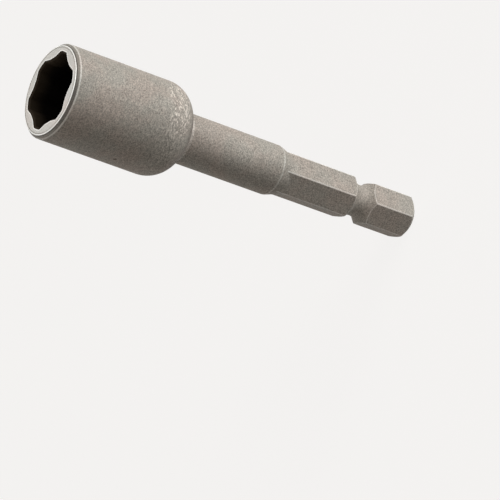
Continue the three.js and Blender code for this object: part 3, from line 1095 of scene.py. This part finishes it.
def ring_stations():
    """Angle and half width of the section on its way round the ring."""
    tips = [RING_TIP * (1 - step / RING_END_STEPS) for step in range(RING_END_STEPS)]
    first = [(end_turn - end_round * math.sin(tip) / ring_middle, end_round * math.cos(tip)) for tip in tips]
    sweep = 2 * math.pi - 2 * end_turn
    arc = [(end_turn + sweep * step / RING_ARC_STEPS, end_round) for step in range(RING_ARC_STEPS + 1)]
    last = [(2 * math.pi - angle, width) for angle, width in reversed(first)]
    return first + arc + last


def set_section(angle, half_width):
    """Puts the four selected corners at an angle, each on its own side of the ring's middle."""
    mesh = bmesh.from_edit_mesh(bpy.context.object.data)
    for vertex in mesh.verts:
        if vertex.select:
            side = 1 if radius_of(vertex.co) > ring_middle else -1
            vertex.co = polar_point(ring_middle + side * half_width, angle, vertex.co.z)
    bmesh.update_edit_mesh(bpy.context.object.data)


stations = ring_stations()
print(f"the section passes {len(stations)} stations, gap {RING_GAP / MM:.1f} mm")

# %% Snap ring
RING_SOFT = 0.06 * MM
RING_SOFT_STEPS = 2

bpy.ops.object.select_all(action="DESELECT")
bpy.ops.mesh.primitive_plane_add(size=ring_high.z - ring_low.z, rotation=(math.pi / 2, 0, 0),
                                 location=(ring_middle, 0, (ring_low.z + ring_high.z) / 2))
snap_ring = bpy.context.object
snap_ring.name = snap_ring.data.name = "snap_ring"
bpy.ops.object.transform_apply(location=True, rotation=True, scale=True)
bpy.ops.object.mode_set(mode="EDIT")
bpy.ops.mesh.select_all(action="SELECT")
set_section(*stations[0])
for station in stations[1:]:
    bpy.ops.mesh.extrude_region_move()
    set_section(*station)
bpy.ops.mesh.select_all(action="SELECT")
bpy.ops.mesh.normals_make_consistent(inside=False)
bpy.ops.mesh.select_all(action="DESELECT")
bpy.ops.mesh.edges_select_sharp(sharpness=SMOOTH_ANGLE)
bpy.ops.mesh.bevel(offset=RING_SOFT, segments=RING_SOFT_STEPS, affect="EDGES")
snap_ring.data.materials.append(spring_steel)
close_piece(snap_ring)

# %% [markdown]
# ## The stage
# The floor is a sheet of pale opal glass, as on a light table: it carries the tool's shadow, and a
# lamp below it shines through on the tool. More light would also make it pale, but it would wash out
# the tool. So to the camera, and to reflections, it shows mostly as its own pale colour. The
# surroundings do the same: they look pale, and give the tool only a dim warm light.

# %% Floor
BACKGROUND = (1.0, 0.987, 0.975, 1)
GLOW_SHARE = 0.87
LIT_FLOOR = (0.8, 0.79, 0.78, 1)
DULL_FLOOR = (0.20, 0.185, 0.17, 1)
FLOOR_SIZE = 8.0
FLOOR_GAP = 0.02 * MM  # keeps the floor clear of the tail's flat face


def seen_directly(material):
    """1 for rays from the camera, reflections and glass, 0 for the light that falls on things."""
    path = add_node(material, "ShaderNodeLightPath", {})
    mirrored = combine(material, "MAXIMUM", path.outputs["Is Camera Ray"], path.outputs["Is Glossy Ray"])
    return combine(material, "MAXIMUM", mirrored, path.outputs["Is Transmission Ray"])


def mix_shaders(material, share, first, second):
    """A shader between two shaders."""
    return add_node(material, "ShaderNodeMixShader", {0: share, 1: first, 2: second}).outputs[0]


def pale_floor():
    """A floor that shows its own colour with the shadow on it, and lets the lamp below through."""
    material = new_finish("pale_floor")[0]
    glow = add_node(material, "ShaderNodeEmission", {"Color": BACKGROUND, "Strength": 1.0}).outputs[0]
    lit = add_node(material, "ShaderNodeBsdfDiffuse", {"Color": LIT_FLOOR}).outputs[0]
    dull = add_node(material, "ShaderNodeBsdfDiffuse", {"Color": DULL_FLOOR}).outputs[0]
    clear = add_node(material, "ShaderNodeBsdfTransparent", {}).outputs[0]
    solid = mix_shaders(material, seen_directly(material), dull, mix_shaders(material, GLOW_SHARE, lit, glow))
    towards_lamps = add_node(material, "ShaderNodeLightPath", {}).outputs["Is Shadow Ray"]
    surface = material.node_tree.nodes["Material Output"].inputs["Surface"]
    material.node_tree.links.new(mix_shaders(material, towards_lamps, solid, clear), surface)
    return material


bpy.ops.mesh.primitive_plane_add(size=FLOOR_SIZE, location=(0, 0, -FLOOR_GAP))
floor = bpy.context.object
floor.name = "floor"
floor.data.materials.append(pale_floor())

# %% Surroundings
AMBIENT = (0.110, 0.099, 0.089, 1)
world = bpy.data.worlds.new("studio")
world.use_nodes = True
bpy.context.scene.world = world
shown = tint(world, seen_directly(world), AMBIENT, BACKGROUND)
world.node_tree.links.new(shown, world.node_tree.nodes["Background"].inputs["Color"])
print("the surroundings look pale and give a dim warm light")

# %% [markdown]
# ## Light
# In the photograph the light comes from the tail's side of the tool: the shoulder is as bright as the
# barrel, and the near side falls into a warm shade. One lamp could not give both, and a sky picture
# would need a file. The tool stands on its tail here, so the main lamp is under the light table. One
# lamp over the mouth lights the rim, a weak one lifts the shade, and one behind lights the far edge.

# %% Lamps
TOOL_MIDDLE = Vector((0, 0, MOUTH / 2))
LAMP_DISTANCE = 0.8
LAMP_SIZE = 0.45


def soft_lamp(name, azimuth, elevation, level, colour):
    """A square lamp that lights a white face turned to it to the given level."""
    rise = math.radians(elevation)
    direction = polar_point(math.cos(rise), math.radians(azimuth), math.sin(rise))
    bpy.ops.object.light_add(type="AREA", location=TOOL_MIDDLE + direction * LAMP_DISTANCE)
    lamp = bpy.context.object
    lamp.name = name
    lamp.rotation_euler = direction.to_track_quat("Z", "Y").to_euler()
    lamp.data.size = LAMP_SIZE
    lamp.data.color = colour
    lamp.data.energy = level * (math.pi * LAMP_DISTANCE) ** 2
    print(f"{name}: {lamp.data.energy:.1f} W at {LAMP_DISTANCE} m")


soft_lamp("key_lamp", azimuth=-36, elevation=-18, level=0.775, colour=(1, 0.99, 0.98))
soft_lamp("mouth_lamp", azimuth=-27.5, elevation=52, level=0.23, colour=(1, 0.99, 0.97))
soft_lamp("fill_lamp", azimuth=178, elevation=20, level=0.09, colour=(1, 0.95, 0.90))
soft_lamp("back_lamp", azimuth=65, elevation=-15, level=0.25, colour=(1, 0.97, 0.94))

# %% [markdown]
# ## Hand over
# Each piece rides on the tool's one body, stands for its plain twin and names the material slot that
# it takes its finish from.

# %% Ride, replace and finish
PIECES = [
    (socket, "socket", "blasted_steel"),
    (shank, "drive_shank", "blasted_steel"),
    (magnet, "magnet", "nickel_plate"),
    (pot, "magnet_cup", "zinc_plate"),
    (pad, "cushion_pad", "fibre"),
    (snap_ring, "retaining_ring", "spring_steel"),
]
for piece, node, slot in PIECES:
    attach(piece, "root")
    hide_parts(node)
    print(f"{piece.name} stands for {node}")

bpy.context.scene.view_settings.view_transform = "Standard"
